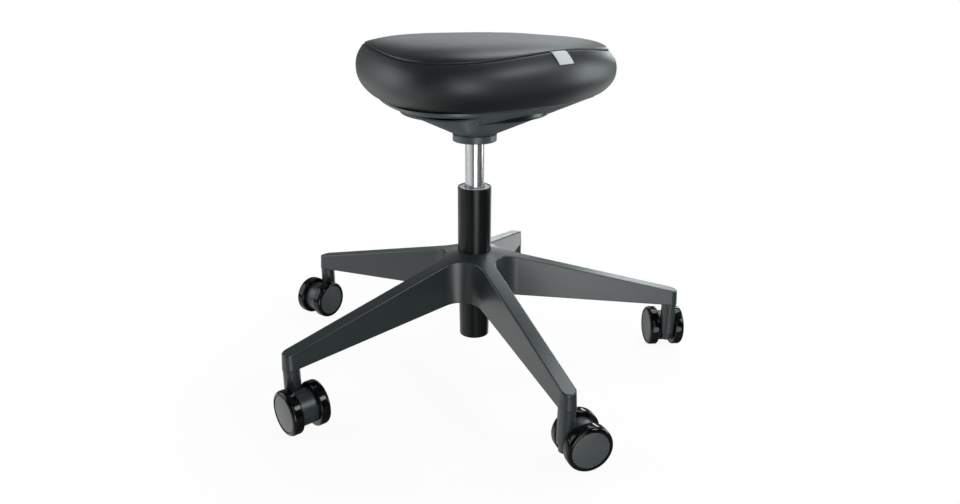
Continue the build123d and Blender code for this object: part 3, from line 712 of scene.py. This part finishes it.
def setWorld():
    world = bpy.data.worlds.new("white studio")
    world.use_nodes = True
    world.cycles.sampling_method = "NONE"  # its levels differ by ray, so only rays that reach it count
    bpy.context.scene.world = world
    tree = world.node_tree
    seen, glossy = paleRays(tree)
    towards = addNode(tree, "ShaderNodeTexCoord").outputs["Generated"]
    axes = addNode(tree, "ShaderNodeSeparateXYZ", {"Vector": towards})
    fades = []
    for axis, span in (("X", "sideFade"), ("Y", "depthFade"), ("Z", "heightFade")):
        low, high = studio[span]
        fades.append(addNode(tree, "ShaderNodeMapRange",
                             {"Value": axes.outputs[axis], "From Min": low, "From Max": high},
                             interpolation_type="SMOOTHSTEP"))
    side, depth, height = fades
    side.inputs["To Min"].default_value = studio["leftLevel"]
    side.inputs["To Max"].default_value = studio["rightLevel"]
    lower = addNode(tree, "ShaderNodeMix", {"Factor": depth.outputs["Result"], "A": studio["frontLevel"],
                                            "B": side.outputs["Result"]})
    upper = addNode(tree, "ShaderNodeMath", {0: depth.outputs["Result"], 1: studio["upperLevel"]},
                    operation="MULTIPLY")
    walls = addNode(tree, "ShaderNodeMix", {"Factor": height.outputs["Result"], "A": lower.outputs["Result"],
                                            "B": upper.outputs["Value"]})
    room = walls.outputs["Result"]
    for window in windows.values():
        turn, rise = math.radians(window["turn"]), math.radians(window["rise"])
        middle = (math.cos(turn) * math.cos(rise), math.sin(turn) * math.cos(rise), math.sin(rise))
        outer, inner = [math.cos(math.radians(edge)) for edge in window["edge"]]
        facing = addNode(tree, "ShaderNodeVectorMath", {0: towards, 1: middle}, operation="DOT_PRODUCT")
        glow = addNode(tree, "ShaderNodeMapRange", {"Value": facing.outputs["Value"], "From Min": outer,
                                                    "From Max": inner, "To Max": window["level"]},
                       interpolation_type="SMOOTHSTEP")
        room = addNode(tree, "ShaderNodeMath", {0: room, 1: glow.outputs["Result"]}).outputs["Value"]
    mirrored = addNode(tree, "ShaderNodeMix", {"Factor": glossy, "A": studio["ambient"], "B": room})
    shown = addNode(tree, "ShaderNodeMix", {"Factor": seen, "A": mirrored.outputs["Result"], "B": 1.0})
    tree.links.new(shown.outputs["Result"], tree.nodes["Background"].inputs["Strength"])
    tree.nodes["Background"].inputs["Color"].default_value = (1, 1, 1, 1)


def layFloor():
    radius, sides = studio["floorRadius"], studio["floorSides"]
    turns = [2 * math.pi * side / sides for side in range(sides)]
    rim = [(radius * math.cos(turn), radius * math.sin(turn), 0) for turn in turns]
    mesh = bpy.data.meshes.new("floor")
    mesh.from_pydata(rim, [], [list(range(sides))])
    floor = bpy.data.objects.new("floor", mesh)
    bpy.context.scene.collection.objects.link(floor)
    material = bpy.data.materials.new("pale floor, matt lacquer")
    material.use_nodes = True
    tree = material.node_tree
    tree.nodes.remove(tree.nodes["Principled BSDF"])
    matt = addNode(tree, "ShaderNodeBsdfDiffuse", {"Color": linear(studio["floorColour"])})
    glow = addNode(tree, "ShaderNodeEmission", {"Color": (1, 1, 1, 1), "Strength": 1.0})
    seen, glossy = paleRays(tree)
    pale = addNode(tree, "ShaderNodeMath", {0: seen, 1: glossy}, operation="MAXIMUM")
    place = addNode(tree, "ShaderNodeTexCoord").outputs["Object"]
    reach = addNode(tree, "ShaderNodeVectorMath", {0: place}, operation="LENGTH")
    near, far = studio["shadowFade"]
    glowShare = addNode(tree, "ShaderNodeMapRange", {"Value": reach.outputs["Value"], "From Min": near,
                                                     "From Max": far, "To Min": 1 - studio["shadowShare"]},
                        interpolation_type="SMOOTHSTEP")
    share = addNode(tree, "ShaderNodeMath", {0: pale.outputs["Value"], 1: glowShare.outputs["Result"]},
                    operation="MULTIPLY")
    mixed = addNode(tree, "ShaderNodeMixShader", {"Fac": share.outputs["Value"], 1: matt.outputs["BSDF"],
                                                  2: glow.outputs["Emission"]})
    tree.links.new(mixed.outputs["Shader"], tree.nodes["Material Output"].inputs["Surface"])
    mesh.materials.append(material)
    floor.visible_glossy = False


def hangLamps():
    aim = Vector(studio["lampAim"])
    for name, lamp in lamps.items():
        light = bpy.data.lights.new(name, "AREA")
        light.shape = "RECTANGLE"
        light.size, light.size_y = lamp["size"]
        light.energy = lamp["power"]
        light.color = linear(lampTone)[:3]
        holder = bpy.data.objects.new(name, light)
        holder.location = lamp["at"]
        holder.rotation_euler = (aim - holder.location).to_track_quat("-Z", "Y").to_euler()
        holder.visible_camera = False
        bpy.context.scene.collection.objects.link(holder)


def setCamera():
    shot = photoCamera
    camera = bpy.data.cameras.new("photo camera")
    camera.sensor_width = shot["sensor"]
    camera.lens = shot["focalPixels"] / shot["frameWidth"] * shot["sensor"]
    camera.clip_end = shot["clipEnd"]
    holder = bpy.data.objects.new("photo camera", camera)
    bpy.context.scene.collection.objects.link(holder)
    turn = (Matrix.Rotation(-math.radians(shot["yawRight"]), 4, "Z")
            @ Matrix.Rotation(math.radians(90 - shot["pitchDown"]), 4, "X")
            @ Matrix.Rotation(math.radians(shot["roll"]), 4, "Z"))
    holder.matrix_world = Matrix.Translation(shot["at"]) @ turn
    bpy.context.scene.camera = holder


setWorld()
layFloor()
hangLamps()
setCamera()
bpy.context.scene.view_settings.view_transform = "Standard"
print("studio ready")
